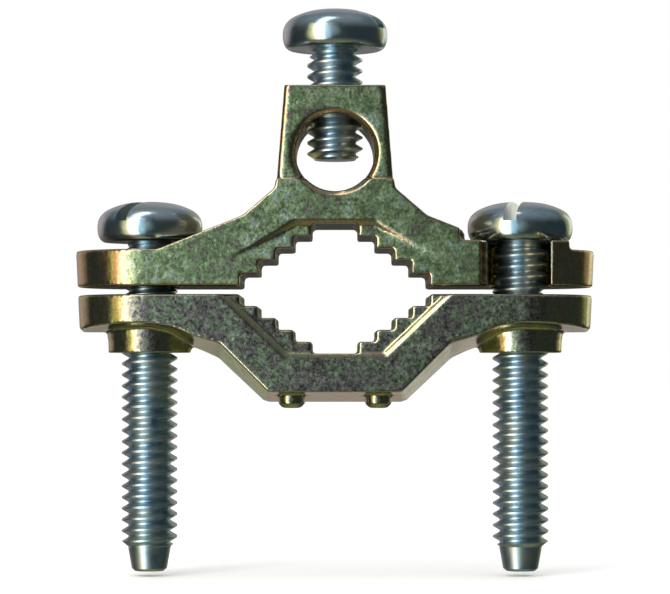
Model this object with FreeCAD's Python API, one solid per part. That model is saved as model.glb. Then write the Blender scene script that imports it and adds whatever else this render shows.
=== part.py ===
import FreeCAD, Part
import math
import os

# Ground clamp: two cast jaws drawn together on a pipe by two screws, with a lug and a third
# screw for the ground wire.  Lengths are millimetres.  X runs from ear to ear, Y along the
# pipe and the wire, Z up.  The origin is the centre of the pipe seat.

os.makedirs("parts", exist_ok=True)
Vector = FreeCAD.Vector
UP = Vector(0, 0, 1)

# Screws, 1/4-20 UNC with a slotted pan head
PITCH = 1.27
CREST_RADIUS = 3.175
ROOT_RADIUS = 2.40
RIDGE_OVERLAP = 0.08
CREST_FLAT = 0.2
FLANK_ANGLE = math.radians(30)
THREAD_RUNOUT_START = 1.4
THREAD_RUNOUT_END = 0.5
LEAD_IN_RADIUS = CREST_RADIUS + 0.5
CLAMP_TIP = [(1.65, 0), (2.0, 0.3), (2.45, 2.8)]
CLAMP_LEAD_IN = 1.0
WIRE_TIP = [(2.3, 0), (2.55, 0.25)]
WIRE_LEAD_IN = 0.7
HEAD_RADIUS = 6.0
HEAD_HEIGHT = 4.63
HEAD_PROFILE = [
    (5.25, 0), (5.62, 0.26), (5.86, 0.7), (5.98, 1.25), (HEAD_RADIUS, 1.75), (5.94, 2.3), (5.70, 2.88),
    (5.2, 3.43), (4.4, 3.88), (3.1, 4.33), (1.6, 4.56), (0, HEAD_HEIGHT)]
NECK_DEPTH = 0.45
NECK_RADIUS = ROOT_RADIUS - 0.02
NECK_FLARE_RADIUS = ROOT_RADIUS + 0.35
SLOT_WIDTH = 1.5
SLOT_DEPTH = 2.4
CLAMP_SCREW_LENGTH = 37.5
WIRE_SCREW_LENGTH = 12.7
SCREW_X = 21.2
CLAMP_BEARING_Z = 5.65
WIRE_BEARING_Z = 27.75
THREAD_PHASE_Z = -8.25
WIRE_PHASE_Z = 22.75
LEFT_SLOT_ANGLE = -120.0
RIGHT_SLOT_ANGLE = -105.5
WIRE_SLOT_ANGLE = -27.0

# Cutting tools reach this far outside the jaws, or stand this little proud of a face
OUTSIDE = 40.0
CLEAR = 0.1

# Jaws
HALF_DEPTH = 8.2
END_DRAFT = math.tan(math.radians(2.8))
PLAN_HALF_HEIGHT = 14.0
HALF_GAP = 0.45
BORE_RADIUS = 3.25
COUNTERSINK = 0.45

# Pipe seat: stepped teeth set back behind a smooth flange edge with a shallow facet
STEP_WIDTH = 2.0
UPPER_STEP_HEIGHT = 1.4
LOWER_STEP_HEIGHT = 1.33
STEP_COUNT = 5
ROOF_HALF_WIDTH = 2.6
UPPER_ROOF_Z = HALF_GAP + STEP_COUNT * UPPER_STEP_HEIGHT
LOWER_FLOOR_Z = -HALF_GAP - STEP_COUNT * LOWER_STEP_HEIGHT
TEETH_HALF_DEPTH = 7.75
FACET_WIDTH = 0.5
FACET_DEPTH = 0.24
RECESS_START_Z = 3.2
RECESS_END_Z = 6.6
UPPER_FLANGE = [(11.3, -HALF_GAP), (11.3, RECESS_START_Z), (8.4, 5.0), (4.4, UPPER_ROOF_Z)]
UPPER_FLANGE_OUTWARD = [(1, 0), (0.5, 0.9), (0.3, 1), (0.3, 1)]
LOWER_FLANGE = [(12.5, HALF_GAP), (12.5, -HALF_GAP), (5.5, LOWER_FLOOR_Z)]
LOWER_FLANGE_OUTWARD = [(1.41, 0), (1.41, 0), (0.41, -1)]

# Upper jaw
EAR_TOP = 4.6
PAD_HALF_WIDTH = 5.1
PAD_TOP = 5.6
EAR_HOLE_RADIUS = 3.55
SLOT_RADIUS = 3.45
SLOT_LEAN = 0.7
SLOT_BEVEL = 0.9
SLOT_BEVEL_DEPTH = 1.6
SLOT_TURN_IN = 0.6
SLOT_EDGE_CHAMFER = 0.3
HEAD_RELIEF_RADIUS = 6.4
SWING_RELIEF_RADIUS = 36.0
LUG_LEDGE_Z = 12.4
LUG_ROOT_Z = LUG_LEDGE_Z - 3.0
LUG_TOP_Z = 23.1
LUG_BASE_WIDTH = 13.1
LUG_TOP_WIDTH = 11.4
LUG_HALF_DEPTH = 6.4
LUG_BEVEL_WIDTH = 0.5
LUG_BEVEL_DEPTH = 0.24
WIRE_HOLE_RADIUS = 4.4
WIRE_HOLE_Z = 15.5
WIRE_HOLE_CHAMFER = 0.6
SHOULDER = [(19.8, EAR_TOP), (10.3, 8.35), (6.75, 11.4), (6.65, LUG_LEDGE_Z)]

# Lower jaw, its underside lower in the middle than at the faces
FACE_UNDERSIDE = [
    (OUTSIDE, -3.65), (20.6, -3.65), (18.4, -4.0), (17.6, -4.3), (16.0, -5.0), (14.5, -5.45),
    (12.85, -5.9), (7.5, -11.25), (7.1, -11.4)]
MIDDLE_UNDERSIDE = [
    (OUTSIDE, -4.6), (20.6, -4.7), (18.6, -5.2), (17.9, -5.6), (16.3, -6.3), (14.8, -6.9),
    (13.3, -7.6), (8.2, -12.4), (7.6, -12.6)]
END_BEVEL_TOP = -4.2
END_BEVEL = 0.4
BOSS_RADIUS = 4.7
BOSS_TOP = -2.0
BOSS_BOTTOM = -7.0
BOSS_DRAFT = 0.05
BOSS_STEP_Z = -5.3
BOSS_STEP = 0.12
NUB_RADIUS = 1.5
NUB_X = 4.85
NUB_Y = -6.0
NUB_TOP = -10.0
NUB_BOTTOM = -13.2
NUB_CHAMFER = 0.5


def revolve(profile):
    """Turn a closed (radius, height) profile about the Z axis."""
    points = [Vector(radius, 0, height) for radius, height in profile]
    face = Part.Face(Part.makePolygon(points + [points[0]]))
    return face.revolve(Vector(0, 0, 0), UP, 360)


def cylinder(x, y, radius, bottom, top):
    """A vertical cylinder between two heights."""
    return Part.makeCylinder(radius, top - bottom, Vector(x, y, bottom), UP)


def cone(x, y, low_radius, high_radius, bottom, top):
    """A vertical cone between two heights."""
    return Part.makeCone(low_radius, high_radius, top - bottom, Vector(x, y, bottom), UP)


def front_wire(outline, y):
    """A closed wire in the plane at depth y from (x, z) points."""
    points = [Vector(x, y, z) for x, z in outline]
    return Part.makePolygon(points + [points[0]])


def through(outline, half_depth):
    """The (x, z) outline extruded along Y, equally to front and back."""
    face = Part.Face(front_wire(outline, -half_depth))
    return face.extrude(Vector(0, 2 * half_depth, 0))


def mirrored(right_side):
    """A symmetric outline from the points of its right side, taken in order."""
    left_side = [(-x, other) for x, other in reversed(right_side)]
    return right_side + left_side


def plan_wire(z, inset=0.0):
    """Plan outline of a jaw at height z: straight front and back, round ear ends drawn in by inset."""
    reach = SCREW_X + END_DRAFT * z - inset
    right_arc = Part.Arc(
        Vector(reach, -HALF_DEPTH, z), Vector(reach + HALF_DEPTH, 0, z), Vector(reach, HALF_DEPTH, z))
    left_arc = Part.Arc(
        Vector(-reach, HALF_DEPTH, z), Vector(-reach - HALF_DEPTH, 0, z), Vector(-reach, -HALF_DEPTH, z))
    front = Part.LineSegment(Vector(-reach, -HALF_DEPTH, z), Vector(reach, -HALF_DEPTH, z))
    back = Part.LineSegment(Vector(reach, HALF_DEPTH, z), Vector(-reach, HALF_DEPTH, z))
    return Part.Wire([front.toShape(), right_arc.toShape(), back.toShape(), left_arc.toShape()])


def jaw_plan():
    """The drafted plan shape that trims both jaws, bevelled under the lower jaw's ear ends."""
    sections = [
        plan_wire(-PLAN_HALF_HEIGHT, END_BEVEL), plan_wire(END_BEVEL_TOP - END_BEVEL, END_BEVEL),
        plan_wire(END_BEVEL_TOP), plan_wire(PLAN_HALF_HEIGHT)]
    return Part.makeLoft(sections, True, True)


def stairs(direction, step_height):
    """Stepped V of the pipe seat, opening at the split and stepping in towards direction."""
    split = direction * HALF_GAP
    side = []
    for level in range(STEP_COUNT):
        half_width = ROOF_HALF_WIDTH + STEP_WIDTH * (STEP_COUNT - 1 - level)
        start = split + direction * step_height * level
        side.append((half_width, start if level else -split))
        side.append((half_width, start + direction * step_height))
    return through(mirrored(side), OUTSIDE)


def flange_cut(side, outward):
    """The smooth opening at the front and back faces.

    side is its right outline in order, and outward says how far each point moves per
    millimetre of the facet's width.
    """
    growth = FACET_WIDTH * (FACET_DEPTH + CLEAR) / FACET_DEPTH
    grown_side = [(x + growth * dx, z + growth * dz) for (x, z), (dx, dz) in zip(side, outward)]
    cuts = []
    for facing in (-1, 1):
        wires = [front_wire(mirrored(side), facing * TEETH_HALF_DEPTH),
                 front_wire(mirrored(side), facing * (HALF_DEPTH - FACET_DEPTH)),
                 front_wire(mirrored(grown_side), facing * (HALF_DEPTH + CLEAR))]
        cuts.append(Part.makeLoft(wires, True, True))
    return cuts[0].fuse(cuts[1])


def sloping_recess():
    """Space in front of planes that lean from the jaw's faces in to the teeth, below the roof."""
    slabs = []
    for facing in (-1, 1):
        profile = [(HALF_DEPTH + CLEAR, RECESS_START_Z), (HALF_DEPTH, RECESS_START_Z),
                   (TEETH_HALF_DEPTH, RECESS_END_Z), (TEETH_HALF_DEPTH, OUTSIDE),
                   (HALF_DEPTH + CLEAR, OUTSIDE)]
        points = [Vector(-OUTSIDE, facing * y, z) for y, z in profile]
        face = Part.Face(Part.makePolygon(points + [points[0]]))
        slabs.append(face.extrude(Vector(2 * OUTSIDE, 0, 0)))
    return slabs[0].fuse(slabs[1])


def thread_ridge(crest_at_right, tip, top):
    """Right-hand helical ridge over the shank, with one crest at this height on the right side."""
    turns_below = math.ceil((crest_at_right - tip) / PITCH) + 1
    start = crest_at_right - turns_below * PITCH
    height = math.ceil((top - start) / PITCH + 1) * PITCH
    helix = Part.makeLongHelix(PITCH, height, ROOT_RADIUS, 0)
    base_radius = ROOT_RADIUS - RIDGE_OVERLAP
    half_base = CREST_FLAT / 2 + (CREST_RADIUS - base_radius) * math.tan(FLANK_ANGLE)
    corners = [
        Vector(base_radius, 0, -half_base), Vector(CREST_RADIUS, 0, -CREST_FLAT / 2),
        Vector(CREST_RADIUS, 0, CREST_FLAT / 2), Vector(base_radius, 0, half_base)]
    section = Part.makePolygon(corners + [corners[0]])
    ridge = Part.Wire(helix).makePipeShell([section], True, True)
    ridge.translate(Vector(0, 0, start))
    return ridge


def pan_head(slot_angle):
    """Slotted pan head standing on the plane z = 0, with a short neck that runs into the shank."""
    crown = Part.BSplineCurve()
    crown.interpolate([Vector(radius, 0, height) for radius, height in HEAD_PROFILE])
    below = [Vector(0, 0, HEAD_HEIGHT), Vector(0, 0, -NECK_DEPTH), Vector(NECK_RADIUS, 0, -NECK_DEPTH),
             Vector(NECK_FLARE_RADIUS, 0, 0), Vector(HEAD_PROFILE[0][0], 0, 0)]
    outline = Part.Wire([crown.toShape()] + Part.makePolygon(below).Edges)
    head = Part.Face(outline).revolve(Vector(0, 0, 0), UP, 360)
    slot = Part.makeBox(2 * (HEAD_RADIUS + CLEAR), SLOT_WIDTH, SLOT_DEPTH + CLEAR)
    slot.translate(Vector(-HEAD_RADIUS - CLEAR, -SLOT_WIDTH / 2, HEAD_HEIGHT - SLOT_DEPTH))
    slot.rotate(Vector(0, 0, 0), UP, slot_angle)
    return head.cut(slot)


def screw(length, tip_profile, lead_in, crest_at_right, slot_angle, x, bearing_z):
    """A slotted pan-head screw hanging from its bearing plane, with a real right-hand thread."""
    tip = bearing_z - length
    runout_radius = ROOT_RADIUS + CLEAR
    lead_end = tip + tip_profile[-1][1] + lead_in
    envelope = revolve(
        [(0, tip)] + [(radius, tip + height) for radius, height in tip_profile]
        + [(LEAD_IN_RADIUS, lead_end), (LEAD_IN_RADIUS, bearing_z - THREAD_RUNOUT_START),
           (runout_radius, bearing_z - THREAD_RUNOUT_END), (runout_radius, bearing_z + THREAD_RUNOUT_END),
           (0, bearing_z + THREAD_RUNOUT_END)])
    core = cylinder(0, 0, ROOT_RADIUS, tip - CLEAR, bearing_z + THREAD_RUNOUT_END)
    shank = core.fuse(thread_ridge(crest_at_right, tip, bearing_z)).common(envelope)
    head = pan_head(slot_angle)
    head.translate(Vector(0, 0, bearing_z))
    body = shank.fuse(head).removeSplitter()
    body.translate(Vector(x, 0, 0))
    return body.Solids[0]


def lug_wire(z):
    """Plan outline of the lug at height z: a rectangle with bevelled corners."""
    share = (z - LUG_LEDGE_Z) / (LUG_TOP_Z - LUG_LEDGE_Z)
    half_width = (LUG_BASE_WIDTH + share * (LUG_TOP_WIDTH - LUG_BASE_WIDTH)) / 2
    right_side = [
        (half_width - LUG_BEVEL_WIDTH, -LUG_HALF_DEPTH),
        (half_width, -LUG_HALF_DEPTH + LUG_BEVEL_DEPTH),
        (half_width, LUG_HALF_DEPTH - LUG_BEVEL_DEPTH),
        (half_width - LUG_BEVEL_WIDTH, LUG_HALF_DEPTH)]
    points = [Vector(x, y, z) for x, y in mirrored(right_side)]
    return Part.makePolygon(points + [points[0]])


def hole_mouth(face_depth, facing):
    """Cone that chamfers the wire hole where it meets a face at this depth."""
    return Part.makeCone(
        WIRE_HOLE_RADIUS, WIRE_HOLE_RADIUS + WIRE_HOLE_CHAMFER + CLEAR, WIRE_HOLE_CHAMFER + CLEAR,
        Vector(0, facing * (face_depth - WIRE_HOLE_CHAMFER), WIRE_HOLE_Z), Vector(0, facing, 0))


def upper_jaw():
    """Casting with the wire lug, the closed-hole ear and the open-slot ear."""
    body = through(mirrored([(OUTSIDE, HALF_GAP), (OUTSIDE, EAR_TOP)] + SHOULDER), HALF_DEPTH)
    lug = Part.makeLoft([lug_wire(LUG_ROOT_Z), lug_wire(LUG_TOP_Z)], True, True)
    pad = Part.makeBox(
        2 * PAD_HALF_WIDTH, 2 * HALF_DEPTH, PAD_TOP - HALF_GAP,
        Vector(SCREW_X - PAD_HALF_WIDTH, -HALF_DEPTH, HALF_GAP))
    body = body.fuse(pad).common(jaw_plan()).fuse(lug)

    # Room for the two heads, also while the right ear swings out from under its screw
    left_relief = cylinder(-SCREW_X, 0, HEAD_RELIEF_RADIUS, EAR_TOP, OUTSIDE)
    right_relief = cylinder(SCREW_X, 0, HEAD_RELIEF_RADIUS, PAD_TOP, OUTSIDE)
    swing_relief = cylinder(-SCREW_X, 0, 2 * OUTSIDE, PAD_TOP, OUTSIDE).cut(
        cylinder(-SCREW_X, 0, SWING_RELIEF_RADIUS, PAD_TOP, OUTSIDE))

    # Closed hole at the left.  The slot at the right is open to the front, and its outer wall turns
    # in a little, because the screw leaves it on an arc about the left screw.
    ear_hole = cylinder(-SCREW_X, 0, EAR_HOLE_RADIUS, 0, OUTSIDE)
    inner_wall = SCREW_X - SLOT_RADIUS
    outer_wall = SCREW_X + SLOT_RADIUS
    slot_outline = [
        (inner_wall, 0), (inner_wall - SLOT_LEAN, -HALF_DEPTH + SLOT_BEVEL_DEPTH),
        (inner_wall - SLOT_LEAN - SLOT_BEVEL, -HALF_DEPTH - CLEAR),
        (outer_wall - SLOT_TURN_IN + SLOT_EDGE_CHAMFER + CLEAR, -HALF_DEPTH - CLEAR),
        (outer_wall - SLOT_TURN_IN, -HALF_DEPTH + SLOT_EDGE_CHAMFER), (outer_wall, 0)]
    slot_points = [Vector(x, y, 0) for x, y in slot_outline]
    slot = Part.Face(Part.makePolygon(slot_points + [slot_points[0]])).extrude(Vector(0, 0, OUTSIDE))
    slot = slot.fuse(cylinder(SCREW_X, 0, SLOT_RADIUS, 0, OUTSIDE))

    # Wire hole, running on as a groove in the ledges, and the screw bore above it
    wire_hole = Part.makeCylinder(
        WIRE_HOLE_RADIUS, 2 * OUTSIDE, Vector(0, -OUTSIDE, WIRE_HOLE_Z), Vector(0, 1, 0))
    screw_bore = cylinder(0, 0, BORE_RADIUS, WIRE_HOLE_Z, OUTSIDE)
    countersink = cone(
        0, 0, BORE_RADIUS, BORE_RADIUS + COUNTERSINK + CLEAR, LUG_TOP_Z - COUNTERSINK, LUG_TOP_Z + CLEAR)
    above_ledge = Part.makeBox(
        2 * OUTSIDE, 2 * OUTSIDE, OUTSIDE, Vector(-OUTSIDE, -OUTSIDE, LUG_LEDGE_Z))
    hole_edges = []
    for facing in (-1, 1):
        hole_edges.append(hole_mouth(LUG_HALF_DEPTH, facing).common(above_ledge))
        hole_edges.append(hole_mouth(HALF_DEPTH, facing))

    # Pipe seat
    flange = flange_cut(UPPER_FLANGE, UPPER_FLANGE_OUTWARD).common(sloping_recess())
    seat = stairs(1, UPPER_STEP_HEIGHT).fuse(flange)
    for tool in [left_relief, right_relief, swing_relief, ear_hole, slot, wire_hole, screw_bore,
                 countersink, seat] + hole_edges:
        body = body.cut(tool)
    return body.removeSplitter().Solids[0]


def lower_jaw():
    """Casting with the two screw bosses, the lower pipe seat and the two nubs underneath."""
    split_edge = [(OUTSIDE, -HALF_GAP)]
    face_outline = mirrored(split_edge + FACE_UNDERSIDE)
    middle_outline = mirrored(split_edge + MIDDLE_UNDERSIDE)
    wires = [front_wire(face_outline, -HALF_DEPTH), front_wire(middle_outline, 0),
             front_wire(face_outline, HALF_DEPTH)]
    body = Part.makeLoft(wires, True, True).common(jaw_plan())
    for x in (-SCREW_X, SCREW_X):
        boss = cone(x, 0, BOSS_RADIUS, BOSS_RADIUS + BOSS_DRAFT, BOSS_BOTTOM, BOSS_STEP_Z)
        collar_radius = BOSS_RADIUS + BOSS_STEP
        collar = cone(x, 0, collar_radius, collar_radius + 2 * BOSS_DRAFT, BOSS_STEP_Z, BOSS_TOP)
        body = body.fuse(boss).fuse(collar)
    for x in (-NUB_X, NUB_X):
        nub = cylinder(x, NUB_Y, NUB_RADIUS, NUB_BOTTOM + NUB_CHAMFER, NUB_TOP)
        rim = cone(x, NUB_Y, NUB_RADIUS - NUB_CHAMFER, NUB_RADIUS, NUB_BOTTOM, NUB_BOTTOM + NUB_CHAMFER)
        body = body.fuse(nub).fuse(rim)

    # Screw bores with small countersinks at both ends
    wide = BORE_RADIUS + COUNTERSINK + CLEAR
    for x in (-SCREW_X, SCREW_X):
        body = body.cut(cylinder(x, 0, BORE_RADIUS, -OUTSIDE, OUTSIDE))
        body = body.cut(cone(x, 0, BORE_RADIUS, wide, -HALF_GAP - COUNTERSINK, -HALF_GAP + CLEAR))
        body = body.cut(cone(x, 0, wide, BORE_RADIUS, BOSS_BOTTOM - CLEAR, BOSS_BOTTOM + COUNTERSINK))

    # Pipe seat
    seat = stairs(-1, LOWER_STEP_HEIGHT).fuse(flange_cut(LOWER_FLANGE, LOWER_FLANGE_OUTWARD))
    return body.cut(seat).removeSplitter().Solids[0]


parts = {
    "upper_jaw": upper_jaw(),
    "lower_jaw": lower_jaw(),
    "left_clamp_screw": screw(
        CLAMP_SCREW_LENGTH, CLAMP_TIP, CLAMP_LEAD_IN, THREAD_PHASE_Z - PITCH / 2, LEFT_SLOT_ANGLE,
        -SCREW_X, CLAMP_BEARING_Z),
    "right_clamp_screw": screw(
        CLAMP_SCREW_LENGTH, CLAMP_TIP, CLAMP_LEAD_IN, THREAD_PHASE_Z, RIGHT_SLOT_ANGLE,
        SCREW_X, CLAMP_BEARING_Z),
    "wire_screw": screw(
        WIRE_SCREW_LENGTH, WIRE_TIP, WIRE_LEAD_IN, WIRE_PHASE_Z, WIRE_SLOT_ANGLE, 0, WIRE_BEARING_Z),
}

for name, shape in parts.items():
    box = shape.BoundBox
    print(name, shape.ShapeType, shape.isValid(), shape.isClosed(), round(shape.Volume, 1),
          [round(v, 2) for v in (box.XMin, box.XMax, box.YMin, box.YMax, box.ZMin, box.ZMax)])
    shape.exportStep("parts/" + name + ".step")
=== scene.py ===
import math

import bmesh
import bpy
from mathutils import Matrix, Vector


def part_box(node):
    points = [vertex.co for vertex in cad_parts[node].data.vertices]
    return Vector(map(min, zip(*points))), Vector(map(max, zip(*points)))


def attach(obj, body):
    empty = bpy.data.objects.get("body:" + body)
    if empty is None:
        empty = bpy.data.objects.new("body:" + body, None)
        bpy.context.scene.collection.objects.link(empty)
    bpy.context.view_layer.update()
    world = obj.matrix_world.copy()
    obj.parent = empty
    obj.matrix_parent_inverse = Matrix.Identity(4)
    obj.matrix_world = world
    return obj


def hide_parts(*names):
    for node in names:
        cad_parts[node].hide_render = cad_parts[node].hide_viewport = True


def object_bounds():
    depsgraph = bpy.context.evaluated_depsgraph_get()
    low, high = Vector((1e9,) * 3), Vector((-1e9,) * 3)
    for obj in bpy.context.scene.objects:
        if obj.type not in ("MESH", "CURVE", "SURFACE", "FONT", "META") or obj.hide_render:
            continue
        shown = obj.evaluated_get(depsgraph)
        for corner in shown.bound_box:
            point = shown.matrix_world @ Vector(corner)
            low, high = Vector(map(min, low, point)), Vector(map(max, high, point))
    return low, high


# Ground clamp: two die-cast jaws with an olive and yellow chromate, three bright zinc-plated screws.
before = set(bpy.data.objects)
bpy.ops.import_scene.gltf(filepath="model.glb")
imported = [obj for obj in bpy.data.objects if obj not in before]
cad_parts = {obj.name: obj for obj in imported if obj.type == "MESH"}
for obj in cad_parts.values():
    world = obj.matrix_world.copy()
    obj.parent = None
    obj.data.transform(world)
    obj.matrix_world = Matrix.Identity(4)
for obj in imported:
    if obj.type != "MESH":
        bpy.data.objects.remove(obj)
cad_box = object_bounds()

MM = 0.001

# Places on the CAD model
HEAD_HEIGHT = 4.63 * MM
CLAMP_BEARING_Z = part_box("left_clamp_screw")[1][2] - HEAD_HEIGHT
WIRE_BEARING_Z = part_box("wire_screw")[1][2] - HEAD_HEIGHT
WIRE_HOLE_Z = 15.5 * MM
WIRE_HOLE_RADIUS = 4.4 * MM

# Remeshing of the jaws
VOXEL = 0.21 * MM
SMOOTH_FACTOR = 0.5
SMOOTH_PASSES = 3
WALL_TOLERANCE = 0.12 * MM
WALL_CLEARANCE = 0.05 * MM

# Camera and floor
SENSOR = 36.0
CAMERA_DISTANCE = 300.0 * MM
CAMERA_HEIGHT = -8.0 * MM
CAMERA_CLIP = 10.0 * MM
CAMERA_AIM = Vector((0.0, 0.0, -0.6 * MM))
FRAME_WIDTH = 76.7 * MM
FLOOR_Z = cad_box[0][2] - 0.6 * MM
FLOOR_RADIUS = 4.0
FLOOR_SIDES = 96


# ---------------------------------------------------------------- node helpers

def new_material(name):
    """An empty node material and its shader, output already linked."""
    material = bpy.data.materials.new(name)
    material.use_nodes = True
    nodes = material.node_tree.nodes
    nodes.clear()
    output = nodes.new("ShaderNodeOutputMaterial")
    shader = nodes.new("ShaderNodeBsdfPrincipled")
    material.node_tree.links.new(shader.outputs["BSDF"], output.inputs["Surface"])
    return material, shader


class Graph:
    """Short spellings for the nodes that the materials and the world are built from."""

    def __init__(self, owner, coordinates="Object"):
        self.tree = owner.node_tree
        self.texture = self.tree.nodes.new("ShaderNodeTexCoord")
        self.place = self.texture.outputs[coordinates]

    def link(self, value, socket):
        """Feed a socket from an output, or set it to a plain value."""
        if isinstance(value, bpy.types.NodeSocket):
            self.tree.links.new(value, socket)
        else:
            socket.default_value = value

    def stretched(self, scale):
        """Object coordinates scaled unevenly along X, Y and Z."""
        node = self.tree.nodes.new("ShaderNodeMapping")
        self.link(self.place, node.inputs["Vector"])
        node.inputs["Scale"].default_value = scale
        return node.outputs["Vector"]

    def noise(self, scale, detail=3.0, roughness=0.55, distortion=0.0, vector=None):
        """Noise whose scale is in waves per metre, or 1 where its vector is stretched already."""
        node = self.tree.nodes.new("ShaderNodeTexNoise")
        self.link(vector or self.place, node.inputs["Vector"])
        node.inputs["Scale"].default_value = scale
        node.inputs["Detail"].default_value = detail
        node.inputs["Roughness"].default_value = roughness
        node.inputs["Distortion"].default_value = distortion
        return node.outputs["Fac"]

    def ramp(self, value, stops):
        """A colour ramp from (position, colour) stops."""
        node = self.tree.nodes.new("ShaderNodeValToRGB")
        ramp = node.color_ramp
        while len(ramp.elements) < len(stops):
            ramp.elements.new(0.5)
        for element, (position, colour) in zip(ramp.elements, stops):
            element.position = position
            element.color = (*colour, 1.0)
        self.link(value, node.inputs["Fac"])
        return node.outputs["Color"]

    def spread(self, value, low, high, to_low=0.0, to_high=1.0):
        """Map a value's range onto another, clamped."""
        node = self.tree.nodes.new("ShaderNodeMapRange")
        self.link(value, node.inputs["Value"])
        node.inputs["From Min"].default_value = low
        node.inputs["From Max"].default_value = high
        node.inputs["To Min"].default_value = to_low
        node.inputs["To Max"].default_value = to_high
        return node.outputs["Result"]

    def math(self, operation, first, second=0.0):
        """One arithmetic step."""
        node = self.tree.nodes.new("ShaderNodeMath")
        node.operation = operation
        self.link(first, node.inputs[0])
        self.link(second, node.inputs[1])
        return node.outputs[0]

    def between(self, share, at_zero, at_one):
        """A number that passes from one value to another as a share goes from 0 to 1."""
        rest = self.math("SUBTRACT", 1.0, share)
        return self.math("ADD", self.math("MULTIPLY", at_one, share), self.math("MULTIPLY", at_zero, rest))

    def mix(self, share, at_zero, at_one):
        """Mix two colours by a share from 0 to 1."""
        node = self.tree.nodes.new("ShaderNodeMix")
        node.data_type = "RGBA"
        self.link(share, node.inputs["Factor"])
        for value, socket in ((at_zero, node.inputs["A"]), (at_one, node.inputs["B"])):
            if isinstance(value, tuple):
                value = (*value, 1.0)
            self.link(value, socket)
        return node.outputs["Result"]

    def scaled(self, colour, factor):
        """A colour times a number."""
        node = self.tree.nodes.new("ShaderNodeVectorMath")
        node.operation = "SCALE"
        self.link(colour, node.inputs[0])
        self.link(factor, node.inputs["Scale"])
        return node.outputs["Vector"]

    def bump(self, height, depth, strength, base=None):
        """A bump whose full height is depth metres."""
        node = self.tree.nodes.new("ShaderNodeBump")
        node.inputs["Distance"].default_value = depth
        self.link(strength, node.inputs["Strength"])
        self.link(height, node.inputs["Height"])
        if base:
            self.link(base, node.inputs["Normal"])
        return node.outputs["Normal"]

    def along_normal(self, axis):
        """How nearly the surface faces along an axis of its own object, from 0 to 1 either way."""
        parts = self.tree.nodes.new("ShaderNodeSeparateXYZ")
        self.link(self.texture.outputs["Normal"], parts.inputs["Vector"])
        return self.math("ABSOLUTE", parts.outputs[axis])

    def height(self):
        """Height above the origin in metres, at the rest pose."""
        parts = self.tree.nodes.new("ShaderNodeSeparateXYZ")
        self.link(self.place, parts.inputs["Vector"])
        return parts.outputs["Z"]

    def edges(self):
        """Above 0.5 on convex edges, below it in crevices and about 0.5 where the mesh is flat."""
        node = self.tree.nodes.new("ShaderNodeNewGeometry")
        return node.outputs["Pointiness"]


# ---------------------------------------------------------------- cast zinc

# Chromate films as (noise value, colour) stops, for the two jaws' flat faces and then their sides
GREEN_FILM = [
    (0.33, (0.46, 0.34, 0.38)),
    (0.41, (0.43, 0.41, 0.33)),
    (0.47, (0.31, 0.44, 0.24)),
    (0.53, (0.44, 0.50, 0.28)),
    (0.59, (0.34, 0.46, 0.42)),
    (0.66, (0.60, 0.55, 0.30)),
]
GREY_FILM = [
    (0.33, (0.46, 0.31, 0.36)),
    (0.42, (0.34, 0.35, 0.32)),
    (0.48, (0.43, 0.36, 0.38)),
    (0.53, (0.31, 0.39, 0.25)),
    (0.59, (0.37, 0.41, 0.36)),
    (0.66, (0.48, 0.46, 0.33)),
]
GOLD_SIDE_FILM = [
    (0.30, (0.50, 0.38, 0.40)),
    (0.40, (0.66, 0.43, 0.26)),
    (0.46, (0.60, 0.52, 0.32)),
    (0.54, (0.54, 0.50, 0.32)),
    (0.60, (0.60, 0.48, 0.36)),
    (0.70, (0.46, 0.44, 0.46)),
]
OLIVE_SIDE_FILM = [
    (0.30, (0.52, 0.38, 0.38)),
    (0.40, (0.61, 0.50, 0.30)),
    (0.46, (0.55, 0.55, 0.33)),
    (0.54, (0.49, 0.52, 0.33)),
    (0.60, (0.60, 0.51, 0.38)),
    (0.70, (0.46, 0.46, 0.45)),
]

# The film where it is worn, and the edge values where wear starts and is full
WORN_FILM = (0.64, 0.60, 0.40)
WORN_EDGES = (0.54, 0.64)
WORN_SHARE = 0.50

# How squarely a surface faces its axis: below the first value it isn't a face or ledge, above the
# second it fully is
FACE_TURN = (0.94, 0.99)
SHADED_LEDGE_TURN = (0.990, 0.997)
# Painted shade: the share of the film left on level ledges, undersides and treads
PAINTED_LEDGE_SHADE = 0.35

# Noise scales in waves per metre
CLOUD_SCALE = 230.0
PATCH_SCALE = 850.0
STREAK_SCALE = (900.0, 900.0, 110.0)
GRAIN_SCALE = 3000.0
GRIT_SCALE = 4200.0
RIPPLE_SCALE = 420.0
PIT_SCALE = 1500.0

# The stretch of a noise's values that counts, and how dark and light it makes the film at its two ends
GRAIN_VALUES = (0.38, 0.64)
MOTTLE_VALUES = (0.36, 0.64)
DAPPLE_SHADES = (0.66, 1.30)
CLOUD_SHADES = (0.84, 1.16)
SIDE_GRAIN_VALUES = (0.37, 0.65)
SIDE_SHADES = (0.75, 1.20)
CLOUD_SHARE = 0.40

# Roughness and bumps, each bump by its depth and its strength
FACE_GRIT_VALUES = (0.25, 0.75)
FACE_ROUGHNESS = (0.22, 0.42)
SIDE_PATCH_VALUES = (0.30, 0.70)
SIDE_ROUGHNESS = (0.13, 0.24)
RIPPLE_DEPTH = 0.08 * MM
RIPPLE_STRENGTH = 0.35
PIT_DEPTH = 0.06 * MM
GRIT_DEPTH = 0.03 * MM
SIDE_TO_FACE_STRENGTH = (0.12, 0.60)


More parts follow.
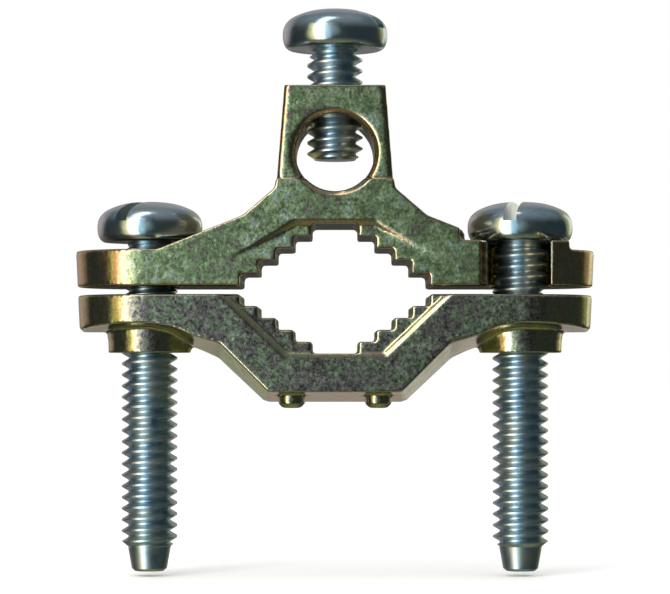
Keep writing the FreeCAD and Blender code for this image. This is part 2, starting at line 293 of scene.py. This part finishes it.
def cast_zinc(name, face_film, side_film, face_shade, contrast):
    """Die-cast zinc under a thin chromate: tumbled and mottled on the flat faces, glossy and yellower
    on the drafted sides, with painted shade darkening level ledges such as undersides and treads."""
    material, shader = new_material(name)
    graph = Graph(material)
    flat = graph.spread(graph.along_normal("Y"), *FACE_TURN)
    clouds = graph.noise(CLOUD_SCALE, detail=4.0, roughness=0.6, distortion=0.6)
    patches = graph.noise(PATCH_SCALE, detail=5.0, roughness=0.65, distortion=0.9)
    streaks = graph.noise(1.0, roughness=0.6, vector=graph.stretched(STREAK_SCALE))
    grains = graph.noise(GRAIN_SCALE, detail=5.0, roughness=0.80)
    grit = graph.noise(GRIT_SCALE, roughness=0.65)

    # Colour: the film, lighter and darker by grains, patches and clouds, darkened by painted shade on
    # level ledges, and worn along the edges
    face_noise = graph.between(CLOUD_SHARE, patches, clouds)
    film = graph.mix(flat, graph.ramp(streaks, side_film), graph.ramp(face_noise, face_film))
    grain = graph.spread(grains, *GRAIN_VALUES, 1.0 - contrast, 1.0 + contrast)
    dapple = graph.spread(patches, *MOTTLE_VALUES, *DAPPLE_SHADES)
    cloud = graph.spread(clouds, *MOTTLE_VALUES, *CLOUD_SHADES)
    mottle = graph.math("MULTIPLY", grain, dapple)
    face_level = graph.math("MULTIPLY", mottle, graph.math("MULTIPLY", cloud, face_shade))
    # Painted shade: faces that lie level, up or down, are darkened to stand in for the shade and dark
    # reflections on undersides and treads
    ledge_painted_shade = graph.spread(graph.along_normal("Z"), *SHADED_LEDGE_TURN, 1.0, PAINTED_LEDGE_SHADE)
    side_level = graph.math("MULTIPLY", ledge_painted_shade, graph.spread(grains, *SIDE_GRAIN_VALUES, *SIDE_SHADES))
    shaded = graph.scaled(film, graph.between(flat, side_level, face_level))
    worn = graph.spread(graph.edges(), *WORN_EDGES, 0.0, WORN_SHARE)
    graph.link(graph.mix(worn, shaded, WORN_FILM), shader.inputs["Base Color"])
    shader.inputs["Metallic"].default_value = 1.0

    face_roughness = graph.spread(grit, *FACE_GRIT_VALUES, *FACE_ROUGHNESS)
    side_roughness = graph.spread(patches, *SIDE_PATCH_VALUES, *SIDE_ROUGHNESS)
    graph.link(graph.between(flat, side_roughness, face_roughness), shader.inputs["Roughness"])

    strength = graph.spread(flat, 0.0, 1.0, *SIDE_TO_FACE_STRENGTH)
    pits = graph.noise(PIT_SCALE, detail=5.0, roughness=0.65)
    texture = graph.bump(graph.noise(RIPPLE_SCALE, roughness=0.5), RIPPLE_DEPTH, RIPPLE_STRENGTH)
    texture = graph.bump(pits, PIT_DEPTH, strength, texture)
    texture = graph.bump(grit, GRIT_DEPTH, strength, texture)
    graph.link(texture, shader.inputs["Normal"])
    return material


# ---------------------------------------------------------------- bright zinc

# Passivate colours as (noise value, colour) stops
PASSIVATE = [
    (0.35, (0.43, 0.59, 0.72)),
    (0.50, (0.58, 0.72, 0.82)),
    (0.66, (0.64, 0.69, 0.67)),
]
PASSIVATE_SCALE = 420.0

# Bare zinc on the crests and painted shade in the roots, each with the edge values that it lies between
BARE_ZINC = (0.78, 0.82, 0.82)
BARE_EDGES = (0.53, 0.62)
BARE_SHARE = 0.5
PAINTED_ROOT_SHADE = (0.10, 0.13, 0.14)
ROOT_SHADE_EDGES = (0.38, 0.48)
ROOT_SHADE_SHARE = 0.38

# Roughness, with the thread's share on top of the gloss, and bumps
GLOSS_VALUES = (0.3, 0.7)
GLOSS_ROUGHNESS = (0.15, 0.26)
THREAD_ROUGHNESS = 0.15
BEARING_BLEND = 0.2 * MM
DENT_SCALE = 900.0
DENT_DEPTH = 0.03 * MM
DENT_STRENGTH = 0.25
BRUSH_SCALE = 5200.0
BRUSH_DEPTH = 0.01 * MM
BRUSH_STRENGTH = 0.5


def bright_zinc(name, bearing_height):
    """Bright zinc plating with a blue passivate: a burnished head above a duller rolled thread."""
    material, shader = new_material(name)
    graph = Graph(material)
    cloud = graph.noise(PASSIVATE_SCALE, detail=4.0, roughness=0.6, distortion=0.4)
    worn = graph.spread(graph.edges(), *BARE_EDGES, 0.0, BARE_SHARE)
    # Painted shade: a dark colour laid into the thread roots and other hollows
    root_shade = graph.spread(graph.edges(), *ROOT_SHADE_EDGES, ROOT_SHADE_SHARE, 0.0)
    colour = graph.mix(worn, graph.ramp(cloud, PASSIVATE), BARE_ZINC)
    graph.link(graph.mix(root_shade, colour, PAINTED_ROOT_SHADE), shader.inputs["Base Color"])
    shader.inputs["Metallic"].default_value = 1.0

    thread_end = bearing_height - BEARING_BLEND
    head_start = bearing_height + BEARING_BLEND
    dull = graph.spread(graph.height(), thread_end, head_start, THREAD_ROUGHNESS, 0.0)
    gloss = graph.spread(cloud, *GLOSS_VALUES, *GLOSS_ROUGHNESS)
    graph.link(graph.math("ADD", gloss, dull), shader.inputs["Roughness"])

    dents = graph.noise(DENT_SCALE, roughness=0.5)
    brushing = graph.noise(BRUSH_SCALE, roughness=0.6)
    texture = graph.bump(dents, DENT_DEPTH, DENT_STRENGTH)
    texture = graph.bump(brushing, BRUSH_DEPTH, BRUSH_STRENGTH, texture)
    graph.link(texture, shader.inputs["Normal"])
    return material


# ---------------------------------------------------------------- pieces

def copy_of(node_name, piece_name):
    """A separate editable copy of a CAD node's mesh."""
    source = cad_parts[node_name]
    piece = bpy.data.objects.new(piece_name, source.data.copy())
    piece.data.name = piece_name
    bpy.context.scene.collection.objects.link(piece)
    return piece


def apply_modifiers(piece):
    """Bake the piece's modifiers into its mesh."""
    scene_state = bpy.context.evaluated_depsgraph_get()
    mesh = bpy.data.meshes.new_from_object(piece.evaluated_get(scene_state))
    piece.modifiers.clear()
    old = piece.data
    piece.data = mesh
    bpy.data.meshes.remove(old)


def casting(node_name, piece_name, body, material):
    """A jaw with softened as-cast edges, remeshed from its CAD solid."""
    piece = copy_of(node_name, piece_name)
    remesh = piece.modifiers.new("remesh", "REMESH")
    remesh.mode = "VOXEL"
    remesh.voxel_size = VOXEL
    smooth = piece.modifiers.new("smooth", "SMOOTH")
    smooth.factor = SMOOTH_FACTOR
    smooth.iterations = SMOOTH_PASSES
    apply_modifiers(piece)
    piece.data.materials.clear()
    piece.data.materials.append(material)
    for polygon in piece.data.polygons:
        polygon.use_smooth = True
    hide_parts(node_name)
    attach(piece, body)
    return piece


def clear_wire_hole(piece):
    """Set the wire hole's wall back just clear of the screw's tip, where the smoothing drew it in."""
    for vertex in piece.data.vertices:
        across = Vector((vertex.co.x, 0.0, vertex.co.z - WIRE_HOLE_Z))
        if abs(across.length - WIRE_HOLE_RADIUS) < WALL_TOLERANCE:
            across *= (WIRE_HOLE_RADIUS + WALL_CLEARANCE) / across.length
            vertex.co.x = across.x
            vertex.co.z = across.z + WIRE_HOLE_Z


def finish_screw(node_name, material):
    """A CAD screw in its plated finish."""
    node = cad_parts[node_name]
    node.data.materials.clear()
    node.data.materials.append(material)


# ---------------------------------------------------------------- studio

PAPER_WHITE = (1.0, 1.0, 1.0)
PAPER_TINTS = [(0.3, (0.96, 0.96, 0.96)), (0.7, (0.98, 0.98, 0.975))]
PAPER_SCALE = 6.0
PAPER_ROUGHNESS = 0.9
PAPER_GLOW = 0.12

# Softboxes: name, azimuth and elevation in degrees, distance, width and height, radiance, colour
SOFTBOXES = [
    ("key", -34.5, 4, 0.60, (0.19, 1.0), 3.8, (1.0, 0.98, 0.92)),
    ("key_orange_flank", -45.5, 4, 0.60, (0.03, 1.0), 3.0, (1.0, 0.42, 0.16)),
    ("key_warm_flank", -53, 4, 0.62, (0.18, 1.0), 0.75, (1.0, 0.84, 0.30)),
    ("key_cool_flank", -16, 4, 0.64, (0.13, 1.0), 0.60, (0.50, 0.82, 1.0)),
    ("key_top", -38, 66, 0.66, (0.20, 0.46), 1.8, (1.0, 0.99, 0.96)),
    ("rim", 140, 10, 0.60, (0.12, 0.35), 0.6, (1.0, 0.95, 0.85)),
]

# What shiny metal sees of the room: soft round patches in the dark, each by its azimuth and elevation,
# the angles from its middle where it starts and ends to fade, and its colour
ROOM_DARK = (0.032, 0.040, 0.039)
ROOM_PATCHES = [
    ((-20, 4), 10, 34, (0.31, 0.37, 0.32)),
    ((180, 30), 8, 30, (0.45, 0.42, 0.38)),
    ((-142, 12), 10, 32, (0.55, 0.44, 0.40)),
    ((142, 12), 10, 30, (0.50, 0.46, 0.22)),
    ((155, 7), 3, 9, (1.10, 1.08, 1.00)),
    ((180, -26), 6, 18, (0.50, 0.42, 0.40)),
    ((167, -13), 3, 9, (0.62, 0.60, 0.56)),
    ((-167, -13), 3, 9, (0.40, 0.42, 0.32)),
    ((0, 90), 20, 75, (0.24, 0.26, 0.27)),
    ((0, -90), 10, 60, (0.24, 0.25, 0.14)),
]


def direction(azimuth, elevation):
    """Unit vector seen from the clamp: azimuth 0 is towards the front, positive to the right."""
    turn = math.radians(azimuth)
    rise = math.radians(elevation)
    return Vector((math.sin(turn) * math.cos(rise), -math.cos(turn) * math.cos(rise), math.sin(rise)))


def softbox(name, azimuth, elevation, distance, size, radiance, colour):
    """A rectangular soft light facing the clamp; its power follows from its size and radiance."""
    data = bpy.data.lights.new(name, "AREA")
    data.shape = "RECTANGLE"
    data.size, data.size_y = size
    data.energy = radiance * math.pi * size[0] * size[1]
    data.color = colour
    light = bpy.data.objects.new(name, data)
    light.location = direction(azimuth, elevation) * distance
    light.rotation_euler = (-light.location).to_track_quat("-Z", "Y").to_euler()
    bpy.context.scene.collection.objects.link(light)


def studio_paper():
    """Plain pale paper that glows a little, so that it comes out white."""
    material, shader = new_material("studio_paper")
    graph = Graph(material)
    soft = graph.noise(PAPER_SCALE, detail=2.0)
    graph.link(graph.ramp(soft, PAPER_TINTS), shader.inputs["Base Color"])
    shader.inputs["Roughness"].default_value = PAPER_ROUGHNESS
    shader.inputs["Emission Color"].default_value = (*PAPER_WHITE, 1.0)
    shader.inputs["Emission Strength"].default_value = PAPER_GLOW
    return material


def floor(material):
    """Plain pale round floor just under the screw tips."""
    mesh = bmesh.new()
    bmesh.ops.create_circle(mesh, cap_ends=True, radius=FLOOR_RADIUS, segments=FLOOR_SIDES)
    data = bpy.data.meshes.new("studio_floor")
    mesh.to_mesh(data)
    mesh.free()
    data.materials.append(material)
    ground = bpy.data.objects.new("studio_floor", data)
    ground.location = (0.0, 0.0, FLOOR_Z)
    ground.visible_glossy = False
    ground.visible_shadow = False
    bpy.context.scene.collection.objects.link(ground)


def camera():
    """Camera straight in front, a little below the pipe seat."""
    data = bpy.data.cameras.new("camera")
    data.sensor_width = SENSOR
    data.lens = SENSOR * CAMERA_DISTANCE / FRAME_WIDTH
    data.clip_start = CAMERA_CLIP
    eye = bpy.data.objects.new("camera", data)
    eye.location = (0.0, -CAMERA_DISTANCE, CAMERA_HEIGHT)
    eye.rotation_euler = (CAMERA_AIM - eye.location).to_track_quat("-Z", "Y").to_euler()
    bpy.context.scene.collection.objects.link(eye)
    bpy.context.scene.camera = eye


def room():
    """World light: even and white for the paper, a dim room with soft patches for the metal."""
    world = bpy.data.worlds.new("room")
    bpy.context.scene.world = world
    world.cycles.sampling_method = "NONE"
    world.use_nodes = True
    tree = world.node_tree
    graph = Graph(world, "Generated")
    colour = ROOM_DARK
    for place, inner, outer, light in ROOM_PATCHES:
        nearness = tree.nodes.new("ShaderNodeVectorMath")
        nearness.operation = "DOT_PRODUCT"
        tree.links.new(graph.place, nearness.inputs[0])
        nearness.inputs[1].default_value = direction(*place)
        fade_end = math.cos(math.radians(outer))
        fade_start = math.cos(math.radians(inner))
        share = graph.spread(nearness.outputs["Value"], fade_end, fade_start)
        colour = graph.mix(share, colour, light)
    path = tree.nodes.new("ShaderNodeLightPath")
    colour = graph.mix(path.outputs["Is Glossy Ray"], PAPER_WHITE, colour)
    tree.links.new(colour, tree.nodes["Background"].inputs["Color"])


def studio():
    """Tall key light at the left between coloured flanks, one above it, and a weak rim light behind
    at the right, over a white floor."""
    bpy.context.scene.view_settings.view_transform = "Standard"
    for settings in SOFTBOXES:
        softbox(*settings)
    floor(studio_paper())
    room()


clamp_zinc = bright_zinc("bright_zinc", CLAMP_BEARING_Z)
olive_zinc = cast_zinc("olive_chromate", GREEN_FILM, GOLD_SIDE_FILM, face_shade=0.94, contrast=0.55)
grey_zinc = cast_zinc("grey_chromate", GREY_FILM, OLIVE_SIDE_FILM, face_shade=0.70, contrast=0.75)
upper_jaw = casting("upper_jaw", "upper_jaw_casting", "upper_jaw", olive_zinc)
clear_wire_hole(upper_jaw)
casting("lower_jaw", "lower_jaw_casting", "lower_jaw", grey_zinc)
finish_screw("left_clamp_screw", clamp_zinc)
finish_screw("right_clamp_screw", clamp_zinc)
finish_screw("wire_screw", bright_zinc("bright_zinc_wire_screw", WIRE_BEARING_Z))
camera()
studio()
